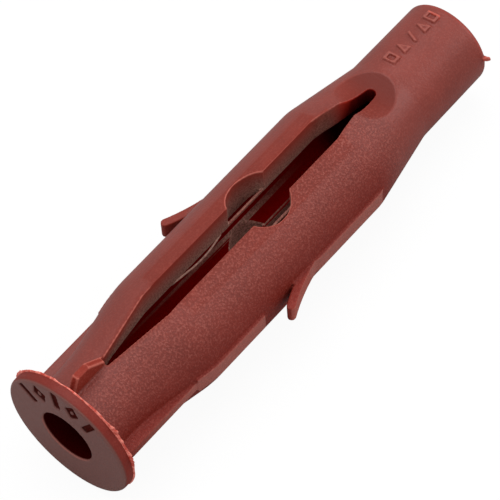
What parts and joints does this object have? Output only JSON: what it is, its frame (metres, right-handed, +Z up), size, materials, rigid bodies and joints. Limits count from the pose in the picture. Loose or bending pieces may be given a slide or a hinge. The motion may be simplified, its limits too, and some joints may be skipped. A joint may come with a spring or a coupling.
{
  "type": "plastic wall plug",
  "caption": "Plastic wall plug: a wide collar, a sleeve, two spreading legs with swept barbs, side ribs and a tubular tip, moulded in one piece.",
  "frame": {"origin": "middle of the bounding box, on the surface the plug lies on", "axes": "+Y along the plug from its collar to its tip, +Z up through the slot, barbs at -X and +X; the plug's own axis dips 1.37 degrees towards the tip, because it lies on its collar's rim and on its legs"},
  "size_m": [0.017, 0.0602, 0.0148],
  "materials": {
    "plastic": "spark-eroded, satin"
  },
  "bodies": {
    "root": {"plug": "plastic"}
  },
  "joints": []
}
